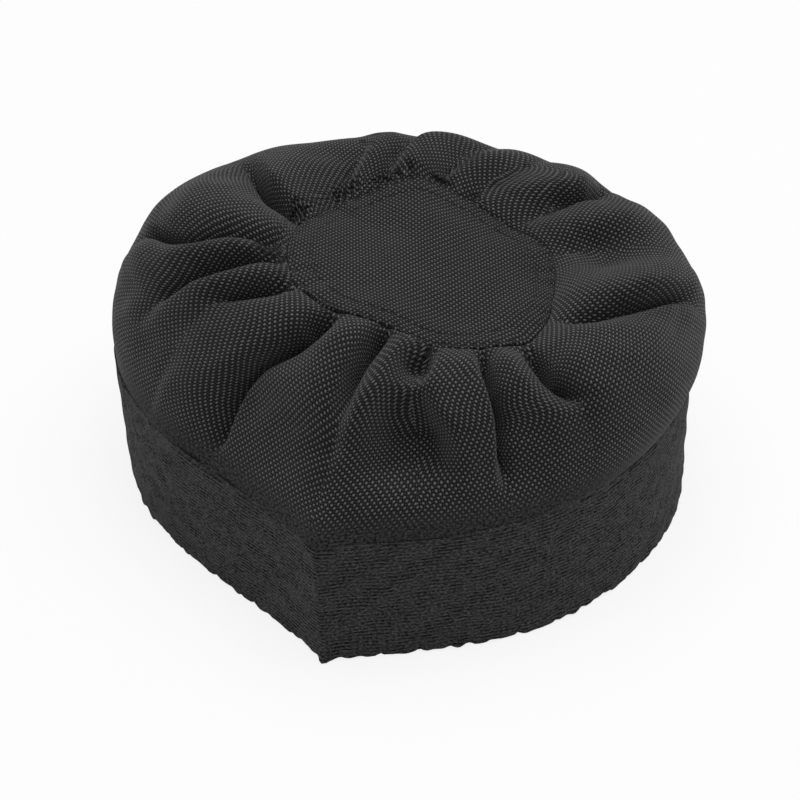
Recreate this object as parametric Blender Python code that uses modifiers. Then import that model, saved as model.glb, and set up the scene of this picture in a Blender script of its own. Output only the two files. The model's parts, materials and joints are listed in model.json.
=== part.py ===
"""Low soft cap: a gathered crown between a round top disc and a stiff stitched band.

Lengths are metres and +Z is up. The cap stands on Z = 0 with the band's closing seam facing -Y.
Angles round the cap start at the closing seam and grow towards +X.
"""
from math import cos, exp, pi, radians, sin

import bmesh
import bpy
import numpy as np
from mathutils import Euler, Matrix, Vector

# Plan of the band's foot: an oval, about 600 mm round, with a soft corner at the closing seam
BAND_RADIUS = 0.0932
SIDE_SPREAD = 0.0070
FRONT_FLAT = 0.0024
SIDE_SKEW = 0.0032
BACK_FILL = 0.0060
BACK_FILL_WIDTH = 0.70
CORNER_REACH = 0.0145
CORNER_WIDTH = 0.20
CORNER_COLUMNS = (0.0, 4.5, 9.0, 13.5)

# Band: a cloth cover turned under at the foot, a stiff core and a lining, each with its ends at the seam
BAND_HEIGHT = 0.0485
BAND_FLARE = 0.0016
BAND_SHEAR = (-0.0024, 0.0027)
COVER_THICK = 0.0012
CORE_THICK = 0.0020
CORE_TOP = 0.0380
LINING_THICK = 0.0008
LINING_TOP = 0.0450
LAYER_GAP = 0.0003
SEAM_GAP = 0.0004
TAPE_THICK = 0.0006
TAPE_FOOT = 0.0040
TAPE_TOP = 0.0440
TAPE_COLUMNS = 2

# Stitching: thread half sunk in a groove of its cloth
THREAD_RADIUS = 0.00025
THREAD_SIDES = 6
THREAD_SINK = 0.00005
GROOVE_WIDTH = 0.0011
GROOVE_DEPTH = 0.0006
TOP_STITCH_HEIGHT = 0.0460
HEM_STITCH_HEIGHT = 0.0030

# Top disc: one thickness of cloth, two where the edge is turned under, and a facing below
DISC_RADIUS = 0.0476
DISC_MIDDLE = (0.0052, 0.0044, 0.0902)
DISC_TILT = (radians(-4.1), radians(9.65), 0.0)
DISC_THICK = 0.0008
HEM_THICK = 0.0016
HEM_WIDTH = 0.0090
OUTER_ROW_INSET = 0.0016
INNER_ROW_INSET = 0.0076
FACING_RADIUS = 0.0440
ROUND_STEPS = 60

# Crown: one gathered strip, its edges held inside the band and under the disc
CROWN_THICK = 0.0008
MARGIN_FOOT = 0.0390
MARGIN_WIDTH = 0.0080
CROWN_FOOT = BAND_HEIGHT + 0.0005
DISC_CLEARANCE = 0.0007
SEAM_DROP = 0.0004
TRAVELS = (0.10, 0.28, 0.50, 0.73, 0.93)
RISE = 0.0260
BULGE = 0.0115
BULGE_RIGHT = 0.0035
CORNER_SOFTENING = 0.0160
HIGH_STEP = 0.20
CREST = 0.0167
CREST_BACK = 0.0095
CREST_RIGHT = -0.0020
PUFF = 0.0030
CREASE_WIDTH = radians(5.5)
DEEPEST_TRAVEL = 0.86
LOBE_STEPS = (0.24, 0.50, 0.76)

# Creases of the gathers: angle in degrees, depth at the disc, share of the crown that it runs down
CREASES = (
    (-167, 0.0070, 0.70),
    (-143, 0.0070, 0.70),
    (-118, 0.0045, 0.55),
    (-95, 0.0085, 0.70),
    (-68, 0.0075, 0.90),
    (-46, 0.0065, 0.65),
    (-23, 0.0080, 0.80),
    (-3, 0.0075, 0.70),
    (18, 0.0045, 0.40),
    (39, 0.0080, 0.80),
    (60, 0.0065, 0.55),
    (80, 0.0085, 0.90),
    (107, 0.0040, 0.50),
    (145, 0.0080, 0.70),
    (162, 0.0050, 0.55),
)

UP = Vector((0.0, 0.0, 1.0))
DISC_PLACE = Matrix.LocRotScale(Vector(DISC_MIDDLE), Euler(DISC_TILT), None)


def clear_scene():
    for item in list(bpy.data.objects):
        bpy.data.objects.remove(item, do_unlink=True)


def cloth(name, colour, roughness):
    """Plain dark cloth or thread."""
    look = bpy.data.materials.new(name)
    look.use_nodes = True
    shader = look.node_tree.nodes["Principled BSDF"]
    shader.inputs["Base Color"].default_value = (*colour, 1.0)
    shader.inputs["Roughness"].default_value = roughness
    shader.inputs["Metallic"].default_value = 0.0
    return look


def add_part(name, mesh, look, soft_angle=45):
    """Names the piece, gives it its material and puts it in the cap's collection."""
    part = bpy.data.objects.new(name, mesh)
    part.parent = root
    mesh.materials.append(look)
    mesh.shade_smooth()
    mesh.set_sharp_from_angle(angle=radians(soft_angle))
    cap.objects.link(part)
    return part


def mesh_from(bm, name):
    mesh = bpy.data.meshes.new(name)
    bm.to_mesh(mesh)
    bm.free()
    return mesh


def outline(angle):
    """Point of the band's foot on its outside."""
    turn = (angle + pi) % (2 * pi) - pi
    oval = -SIDE_SPREAD * cos(2 * turn)
    flat = FRONT_FLAT * cos(3 * turn) + SIDE_SKEW * sin(3 * turn)
    back = BACK_FILL * exp(-(((pi - abs(turn)) / BACK_FILL_WIDTH) ** 2))
    corner = CORNER_REACH * exp(-abs(turn) / CORNER_WIDTH)
    reach = BAND_RADIUS + oval + flat + back + corner
    return reach * sin(turn), -reach * cos(turn)


def column_angles():
    """Every crease, three angles on the lobe beside it, and the corner's own; the seam comes first."""
    creases = [crease[0] for crease in CREASES]
    degrees = []
    for here, after in zip(creases, creases[1:] + [creases[0] + 360]):
        steps = [here + (after - here) * step for step in LOBE_STEPS]
        if here < 0 < after:
            steps = CORNER_COLUMNS
        degrees += [here, *steps]
    return sorted(radians(angle % 360) for angle in degrees)


def plan_of(angles):
    """Foot points of the columns and the inward step at each that keeps layers parallel."""
    foot = np.array([outline(angle) for angle in angles])
    ahead = np.roll(foot, -1, axis=0) - foot
    ahead /= np.linalg.norm(ahead, axis=1)[:, None]
    wall = np.stack([-ahead[:, 1], ahead[:, 0]], axis=1)
    mitre = wall + np.roll(wall, 1, axis=0)
    mitre /= np.sum(mitre * wall, axis=1)[:, None]
    return foot, mitre


def band_point(column, depth, height):
    """Point of a column at a depth behind the cover's face; the band flares and leans over as it rises."""
    place = column % len(ANGLES)
    rise = height / BAND_HEIGHT
    spot = FOOT[place] + MITRE[place] * (depth - BAND_FLARE * rise) + np.array(BAND_SHEAR) * rise
    return Vector((spot[0], spot[1], height))


def disc_point(angle, radius, height):
    """Point in the disc's own tilted plane."""
    return DISC_PLACE @ Vector((radius * sin(angle), -radius * cos(angle), height))


def strip(name, section, look, first=0, last=None, open_seam=True):
    """Carries a closed section of depths and heights along the band, with butted ends at the seam."""
    if last is None:
        last = len(ANGLES)
    bm = bmesh.new()
    rings = []
    for column in range(first, last + 1):
        side = (column == first) - (column == last)
        shift = Vector((side * SEAM_GAP / 2, 0.0, 0.0)) if open_seam else Vector()
        rings.append([bm.verts.new(band_point(column, *spot) + shift) for spot in section])
    bm.faces.new(rings[0])
    bm.faces.new(rings[-1])
    count = len(section)
    for ring, following in zip(rings, rings[1:]):
        for k in range(count):
            after = (k + 1) % count
            bm.faces.new((ring[k], ring[after], following[after], following[k]))
    bmesh.ops.recalc_face_normals(bm, faces=bm.faces)
    return add_part(name, mesh_from(bm, name), look)


def slab(outer, thick, foot, top):
    """Section of a plain layer."""
    return [(outer, foot), (outer, top), (outer + thick, top), (outer + thick, foot)]


def groove(height):
    """Part of the cover's face, going up, where a row of stitches sinks in."""
    low = height - GROOVE_WIDTH / 2
    high = height + GROOVE_WIDTH / 2
    return [(0.0, low), (GROOVE_DEPTH, low), (GROOVE_DEPTH, high), (0.0, high)]


def thread_section(height):
    """Round of one thread that lies along the band."""
    turns = [2 * pi * k / THREAD_SIDES for k in range(THREAD_SIDES)]
    return [(THREAD_SINK + THREAD_RADIUS * cos(t), height + THREAD_RADIUS * sin(t)) for t in turns]


def make_band():
    lining_face = COVER_THICK + CORE_THICK + 2 * LAYER_GAP
    hem_width = lining_face + LINING_THICK
    inside_foot = COVER_THICK + LAYER_GAP
    face = [(0.0, 0.0), *groove(HEM_STITCH_HEIGHT), *groove(TOP_STITCH_HEIGHT), (0.0, BAND_HEIGHT)]
    back = [(COVER_THICK, BAND_HEIGHT), (COVER_THICK, COVER_THICK)]
    turned_hem = [(hem_width, COVER_THICK), (hem_width, 0.0)]
    strip("band_cover", face + back + turned_hem, band_cloth)
    core = slab(COVER_THICK + LAYER_GAP, CORE_THICK, inside_foot, CORE_TOP)
    strip("band_interlining", core, core_felt)
    strip("band_lining", slab(lining_face, LINING_THICK, inside_foot, LINING_TOP), lining_cloth)
    strip("band_hem_stitch", thread_section(HEM_STITCH_HEIGHT), thread)
    strip("band_top_stitch", thread_section(TOP_STITCH_HEIGHT), thread)
    tape = slab(hem_width + LAYER_GAP, TAPE_THICK, TAPE_FOOT, TAPE_TOP)
    strip("back_seam_binding", tape, lining_cloth, -TAPE_COLUMNS, TAPE_COLUMNS, open_seam=False)


def turned(name, profile, look):
    """Turns a profile of radii and heights round the disc's middle."""
    bm = bmesh.new()
    spots = [bm.verts.new((radius, 0.0, height)) for radius, height in profile]
    for here, after in zip(spots, spots[1:]):
        bm.edges.new((here, after))
    part = add_part(name, mesh_from(bm, name), look)
    screw = part.modifiers.new("turn", "SCREW")
    screw.steps = ROUND_STEPS
    screw.render_steps = ROUND_STEPS
    screw.use_merge_vertices = True
    screw.merge_threshold = 0.00001
    screw.use_smooth_shade = True
    part.matrix_local = DISC_PLACE
    return part


def disc_groove(inset):
    """Part of the disc's face, going out, where a row of stitches sinks in."""
    near = DISC_RADIUS - inset - GROOVE_WIDTH / 2
    far = near + GROOVE_WIDTH
    return [(near, 0.0), (near, -GROOVE_DEPTH), (far, -GROOVE_DEPTH), (far, 0.0)]


def make_disc():
    face = [(0.0, 0.0), *disc_groove(INNER_ROW_INSET), *disc_groove(OUTER_ROW_INSET), (DISC_RADIUS, 0.0)]
    hem_edge = DISC_RADIUS - HEM_WIDTH
    under = [(DISC_RADIUS, -HEM_THICK), (hem_edge, -HEM_THICK), (hem_edge, -DISC_THICK), (0.0, -DISC_THICK)]
    turned("top_disc", face + under, woven_cloth)
    facing_top = -HEM_THICK - CROWN_THICK - 2 * LAYER_GAP
    facing_foot = facing_top - LINING_THICK
    facing = [(0.0, facing_top), (FACING_RADIUS, facing_top), (FACING_RADIUS, facing_foot), (0.0, facing_foot)]
    turned("disc_facing", facing, lining_cloth)
    for name, inset in (("disc_stitch_inner", INNER_ROW_INSET), ("disc_stitch_outer", OUTER_ROW_INSET)):
        bpy.ops.mesh.primitive_torus_add(
            major_segments=ROUND_STEPS,
            minor_segments=THREAD_SIDES,
            major_radius=DISC_RADIUS - inset,
            minor_radius=THREAD_RADIUS,
        )
        ring = bpy.context.object
        part = add_part(name, ring.data, thread)
        part.matrix_local = DISC_PLACE @ Matrix.Translation(-UP * THREAD_SINK)
        bpy.data.objects.remove(ring)


def sink(angle, travel):
    """How far the cloth sinks into its creases, less how far it puffs up between them."""
    depth = -PUFF * travel
    for crease, deepest, run in CREASES:
        turn = (angle - radians(crease) + pi) % (2 * pi) - pi
        start = 1.0 - run
        share = min(max((travel - start) / (DEEPEST_TRAVEL - start), 0.0), 1.0)
        depth += deepest * exp(-((turn / CREASE_WIDTH) ** 2)) * share * share * (3.0 - 2.0 * share)
    return depth


def crown_point(angle, foot, seam, travel):
    """Point on the way from the band's top, at travel 0, over the shoulder to the disc, at travel 1."""
    inward = Vector((seam.x - foot.x, seam.y - foot.y, 0.0))
    length = inward.length
    inward.normalize()
    crest = CREST - CREST_BACK * cos(angle) + CREST_RIGHT * sin(angle)
    near_corner = exp(-((pi - abs(angle - pi)) / CORNER_WIDTH))
    bulge = BULGE + BULGE_RIGHT * sin(angle) - CORNER_SOFTENING * near_corner
    low = foot - inward * bulge + UP * RISE
    high = foot + inward * (HIGH_STEP * length)
    high.z = seam.z + crest
    rest = 1.0 - travel
    point = foot * rest**3 + low * 3 * rest**2 * travel + high * 3 * rest * travel**2 + seam * travel**3
    slope = (low - foot) * rest**2 + (high - low) * 2 * rest * travel + (seam - high) * travel**2
    outward = UP * slope.dot(inward) - inward * slope.z
    return point - outward.normalized() * sink(angle, travel)


def crown_column(column):
    """One column of the crown, from its margin inside the band to its margin under the disc."""
    angle = ANGLES[column]
    depth = COVER_THICK + LAYER_GAP
    foot = band_point(column, depth, CROWN_FOOT)
    seam = disc_point(angle, DISC_RADIUS + DISC_CLEARANCE, -SEAM_DROP)
    under = -HEM_THICK - LAYER_GAP
    margin = [
        disc_point(angle, DISC_RADIUS + DISC_CLEARANCE, under),
        disc_point(angle, DISC_RADIUS - MARGIN_WIDTH, under),
    ]
    over = [crown_point(angle, foot, seam, travel) for travel in TRAVELS]
    return [band_point(column, depth, MARGIN_FOOT), foot, *over, seam, *margin]


def make_crown():
    bm = bmesh.new()
    columns = [[bm.verts.new(spot) for spot in crown_column(k)] for k in range(len(ANGLES))]
    for column, following in zip(columns, columns[1:] + columns[:1]):
        for k in range(len(column) - 1):
            bm.faces.new((column[k], following[k], following[k + 1], column[k + 1]))
    part = add_part("crown_panel", mesh_from(bm, "crown_panel"), woven_cloth, soft_angle=85)
    wall = part.modifiers.new("cloth", "SOLIDIFY")
    wall.thickness = CROWN_THICK
    wall.offset = -1.0
    wall.use_even_offset = True
    wall.use_quality_normals = True
    return part


def centre_footprint():
    """Moves the cap so that the middle of its footprint is at the origin."""
    bpy.context.view_layer.update()
    shown = bpy.context.evaluated_depsgraph_get()
    spread = [cap.objects["band_cover"], cap.objects["crown_panel"]]
    corners = np.array([corner for part in spread for corner in part.evaluated_get(shown).bound_box])
    middle = (corners.min(axis=0) + corners.max(axis=0)) / 2
    root.location = (-middle[0], -middle[1], 0.0)
    bpy.context.view_layer.update()


clear_scene()
cap = bpy.data.collections.new("gathered_cap")
bpy.context.scene.collection.children.link(cap)
root = bpy.data.objects.new("cap_root", None)
cap.objects.link(root)

woven_cloth = cloth("woven_cloth", (0.030, 0.029, 0.029), 0.75)
band_cloth = cloth("band_cloth", (0.033, 0.032, 0.032), 0.90)
lining_cloth = cloth("lining_cloth", (0.026, 0.026, 0.027), 0.80)
core_felt = cloth("core_felt", (0.060, 0.058, 0.056), 0.95)
thread = cloth("thread", (0.022, 0.022, 0.022), 0.60)

ANGLES = column_angles()
FOOT, MITRE = plan_of(ANGLES)
make_band()
make_disc()
make_crown()
centre_footprint()
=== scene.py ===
"""Low soft cap in black cloth: a crown gathered to a round disc, on a stiff band stitched in close rows.

Lengths are metres and +Z is up. Turns round the cap start at the band's closing seam, which faces -Y,
and grow towards +X. A way is a share of the path over the crown, from the band's top to the disc's edge.
"""

import json
from math import cos, pi, radians, sin

import bmesh
import bpy
import numpy as np
from mathutils import Euler, Matrix, Vector


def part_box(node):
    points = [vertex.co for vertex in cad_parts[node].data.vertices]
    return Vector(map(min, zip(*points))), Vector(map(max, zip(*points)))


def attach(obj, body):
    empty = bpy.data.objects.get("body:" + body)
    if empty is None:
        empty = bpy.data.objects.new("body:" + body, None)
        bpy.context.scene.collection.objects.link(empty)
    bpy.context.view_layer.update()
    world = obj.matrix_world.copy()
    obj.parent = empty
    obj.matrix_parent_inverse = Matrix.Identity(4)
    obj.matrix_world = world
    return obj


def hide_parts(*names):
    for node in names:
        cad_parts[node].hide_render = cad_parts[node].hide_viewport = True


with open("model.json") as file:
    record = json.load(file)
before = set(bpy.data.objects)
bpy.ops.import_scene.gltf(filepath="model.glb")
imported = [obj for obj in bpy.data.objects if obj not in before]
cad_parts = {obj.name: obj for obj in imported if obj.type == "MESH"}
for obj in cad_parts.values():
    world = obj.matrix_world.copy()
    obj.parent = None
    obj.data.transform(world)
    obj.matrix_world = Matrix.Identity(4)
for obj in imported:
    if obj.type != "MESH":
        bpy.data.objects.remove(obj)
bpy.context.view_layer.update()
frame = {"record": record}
COLOURS = {finish["slot"]: Vector(finish["base_color"]) for finish in frame["record"]["materials"]}

MM = 0.001
END_WELD = 0.00001
MIDDLE_WELD = 0.000001
UP = np.array([0.0, 0.0, 1.0])
RIDGE = False
VALLEY = True

# Plan of the band's foot: an oval with a soft corner at the closing seam
BAND_RADIUS = 0.0932
SIDE_SPREAD = 0.0070
FRONT_FLAT = 0.0024
SIDE_SKEW = 0.0032
BACK_FILL = 0.0060
BACK_FILL_WIDTH = 0.70
CORNER_REACH = 0.0145
CORNER_WIDTH = 0.20
CORNER_SOFT = radians(1.2)
RING_STEPS = 2880

# Band: cover, core and lining, with the cover turned under at the foot
BAND_HEIGHT = 0.0485
BAND_FLARE = 0.0016
BAND_SHEAR = np.array([-0.0024, 0.0027])
COVER_THICK = 0.0008
COVER_SPACE = 0.0012
CORE_THICK = 0.0020
CORE_TOP = 0.0380
LINING_THICK = 0.0008
LINING_TOP = 0.0450
LAYER_GAP = 0.0003
CORE_FACE = COVER_SPACE + LAYER_GAP
LINING_FACE = CORE_FACE + CORE_THICK + LAYER_GAP
HEM_REACH = LINING_FACE + LINING_THICK
FOOT_ROUND = 0.0012
TAPE_THICK = 0.0006
TAPE_FOOT = 0.0040
TAPE_TOP = 0.0440
TAPE_ENDS = (-0.0130, 0.0150)

# Top disc and the facing under it
DISC_RADIUS = 0.0476
DISC_MIDDLE = Vector((0.0052, 0.0044, 0.0902))
DISC_TILT = Euler((radians(-4.1), radians(9.65), 0.0))
DISC_THICK = 0.0008
DISC_HEM = 0.0090
HEM_DROP = 0.0017
OUTER_INSET = 0.0016
INNER_INSET = 0.0076
OUTER_ROW = DISC_RADIUS - OUTER_INSET
INNER_ROW = DISC_RADIUS - INNER_INSET
FACING_RADIUS = 0.0440
FACING_DROP = 0.0030
ROUND_STEPS = 240

# Crown: one strip of cloth, from its margin inside the band to its margin under the disc
CROWN_THICK = 0.0008
CROWN_DEPTH = 0.0011
MARGIN_FOOT = 0.0390
MARGIN_WIDTH = 0.0080
MARGIN_DROP = 0.0019
CROWN_SINK = 0.0002
CROWN_FOOT = BAND_HEIGHT - CROWN_SINK
DISC_CLEARANCE = 0.0003
SEAM_DROP = 0.0003
RISE = 0.0260
RISE_FRONT = 0.0190
BULGE = 0.0115
BULGE_RIGHT = 0.0035
BULGE_BACK = 0.0060
BULGE_FRONT = -0.0140
FRONT_TURN = radians(-2.0)
FRONT_WIDTH = radians(62.0)
HIGH_STEP = 0.20
HIGH_STEP_FRONT = 0.50
CREST = 0.0167
CREST_FRONT = 0.0030
CREST_BACK = -0.0010
CREST_RIGHT = 0.0010
CORNER_ROUNDING = radians(7.0)
ROUNDING_WAY = 0.35
CROWN_COLUMNS = 640
CROWN_ROWS = 68
MARGIN_ROWS = 4
SOFTENING = 2

# Depth of the crown's foot behind the band's face, a little more at the left than at the front right
FOOT_DEPTH = 0.00040
FOOT_DEPTH_SWING = 0.00015
FOOT_TURN = radians(50.0)

# Seeds of the random draws
SWELL_SEED = 1
PUCKER_SEED = 2
SCALLOP_SEED = 3
EDGE_SEED = 4
ROW_SEED = 5
GROOVE_SEED = 6
DISC_SEED = 11
DISC_SWELL_SEED = 12
INNER_ROW_SEED = 21
OUTER_ROW_SEED = 22
UNDULATION_SEED = 31
STITCH_SEED = 100

# Soft waves of the cloth
WAVES = 12
UNDULATION = 0.00025
UNDULATION_LENGTHS = (0.009, 0.028)
UNDULATION_START = 0.006
ROUNDING_HEIGHT = 0.004

low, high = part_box("disc_stitch_outer")
PLACE = (low + high) / 2 - DISC_MIDDLE
DISC_PLACE = Matrix.LocRotScale(DISC_MIDDLE + PLACE, DISC_TILT, None)


def unit(vectors):
    return vectors / np.linalg.norm(vectors, axis=-1, keepdims=True)


def smooth_step(share):
    share = np.clip(share, 0.0, 1.0)
    return share * share * (3.0 - 2.0 * share)


def uneven(seed, points, lengths):
    """Random soft waves through space, about 1 high, at points."""
    draw = np.random.default_rng(seed)
    headings = unit(draw.normal(size=(WAVES, points.shape[-1])))
    waves = 2 * pi / draw.uniform(*lengths, WAVES)
    starts = draw.uniform(0.0, 2 * pi, WAVES)
    return np.sin(points @ (headings * waves[:, None]).T + starts).sum(axis=-1) / (WAVES / 2) ** 0.5


def wrapped(turn):
    return (turn + pi) % (2 * pi) - pi


def outline(turn):
    """Plan points of the band's foot."""
    turn = wrapped(turn)
    oval = -SIDE_SPREAD * np.cos(2 * turn) + FRONT_FLAT * np.cos(3 * turn) + SIDE_SKEW * np.sin(3 * turn)
    back = BACK_FILL * np.exp(-(((pi - np.abs(turn)) / BACK_FILL_WIDTH) ** 2))
    corner = CORNER_REACH * np.exp((CORNER_SOFT - np.hypot(turn, CORNER_SOFT)) / CORNER_WIDTH)
    reach = BAND_RADIUS + oval + back + corner
    return np.stack([reach * np.sin(turn), -reach * np.cos(turn)], axis=-1)


def plan_of(turns):
    """Foot points at the turns of a full round, and the inward steps that keep layers parallel."""
    foot = outline(turns)
    ahead = np.roll(foot, -1, axis=0) - foot
    ahead /= np.linalg.norm(ahead, axis=1)[:, None]
    wall = np.stack([-ahead[:, 1], ahead[:, 0]], axis=1)
    mitre = wall + np.roll(wall, 1, axis=0)
    mitre /= np.sum(mitre * wall, axis=1)[:, None]
    return foot, mitre


RING = np.arange(RING_STEPS) * 2 * pi / RING_STEPS
RING_FOOT, RING_MITRE = plan_of(RING)
ring_edges = np.linalg.norm(np.roll(RING_FOOT, -1, axis=0) - RING_FOOT, axis=1)
RING_LENGTH = np.concatenate([[0.0], np.cumsum(ring_edges)])
BAND_LENGTH = RING_LENGTH[-1]


def columns_of(places, stops, values):
    """Values between stops, for each column of a list of points."""
    return np.stack([np.interp(places, stops, column) for column in np.moveaxis(values, -1, 0)], axis=-1)


def band_points(places, depths, heights):
    """Points at lengths along the band, behind the cover's face by a depth; the band flares as it rises."""
    places, depths, heights = np.broadcast_arrays(places, depths, heights)
    rise = heights[..., None] / BAND_HEIGHT
    foot = columns_of(places % BAND_LENGTH, RING_LENGTH, np.concatenate([RING_FOOT, RING_FOOT[:1]]))
    mitre = columns_of(places % BAND_LENGTH, RING_LENGTH, np.concatenate([RING_MITRE, RING_MITRE[:1]]))
    spot = foot + mitre * (depths[..., None] - BAND_FLARE * rise) + BAND_SHEAR * rise
    return np.concatenate([spot, heights[..., None]], axis=-1) + np.array(PLACE)


def disc_points(turns, radii, heights):
    """Points in the disc's own tilted plane."""
    turns, radii, heights = np.broadcast_arrays(turns, radii, heights)
    flat = np.stack([radii * np.sin(turns), -radii * np.cos(turns), heights], axis=-1)
    return flat @ np.array(DISC_PLACE.to_3x3()).T + np.array(DISC_PLACE.translation)


# Edge of the disc, where the crown pulls it out of round: a turn in degrees, a reach and a height in mm
RIM = (
    (0, -2.5, 2.8), (10, -1.5, 1.5), (20, 0, 0.3), (45, 0.6, 0), (60, 2.6, 0), (72, 0.3, 0), (92, -2.9, 0),
    (108, -2.4, 0), (130, 0.8, 0), (142, 0.2, -0.3), (154, -0.9, -2.2), (166, -0.7, -1.2), (180, 0.5, 0.6),
    (200, 2, 4.3), (210, 0.8, 1.6), (222, -0.6, -2), (240, -1.8, -4), (258, -1.6, -3), (275, -0.7, -1.5),
    (300, 1, 0), (311, 2.6, 0), (330, 1, 0), (341, -1, 1.9), (351, -2.2, 2.6),
)


def rim(turns):
    """How far the disc's edge is drawn out and up."""
    stops, *pulls = np.array(RIM, dtype=float).T
    return [np.interp(np.degrees(turns), stops, pull, period=360.0) * MM for pull in pulls]


def finish_piece(name, bm):
    mesh = bpy.data.meshes.new(name)
    bm.to_mesh(mesh)
    bm.free()
    mesh.shade_smooth()
    piece = bpy.data.objects.new(name, mesh)
    bpy.context.scene.collection.objects.link(piece)
    return piece


def sheet_from(name, rows, flat, slip=None, closed=True):
    """Cloth piece from rows of places: a flat grid whose points go to their places.

    The flat cut is its UV map, in metres. A slip moves the cut along at the lower and upper edge of a face,
    where cloth is out of sight in a fold.
    """
    tall, wide = rows.shape[0] - 1, rows.shape[1] - 1
    bm = bmesh.new()
    cut = bm.loops.layers.uv.new("cloth")
    bmesh.ops.create_grid(bm, x_segments=wide, y_segments=tall, size=0.5)
    spots = {vert: (round((vert.co.y + 0.5) * tall), round((vert.co.x + 0.5) * wide)) for vert in bm.verts}
    for face in bm.faces:
        corners = [spots[loop.vert] for loop in face.loops]
        low_row, left = min(corners)
        for loop, (row, column) in zip(face.loops, corners):
            along, across = flat[row, column]
            if slip is not None:
                along += slip[low_row, left, row - low_row]
            loop[cut].uv = (along, across)
    for vert, spot in spots.items():
        vert.co = rows[spot]
    if closed:
        ends = [vert for vert, (row, column) in spots.items() if row in (0, tall) or column in (0, wide)]
        bmesh.ops.remove_doubles(bm, verts=ends, dist=END_WELD)
    return finish_piece(name, bm)


def thicken(piece, thick):
    """Gives a sheet its thickness, inwards from its face."""
    wall = piece.modifiers.new("thickness", "SOLIDIFY")
    wall.thickness = thick
    wall.offset = -1.0
    return piece


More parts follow.
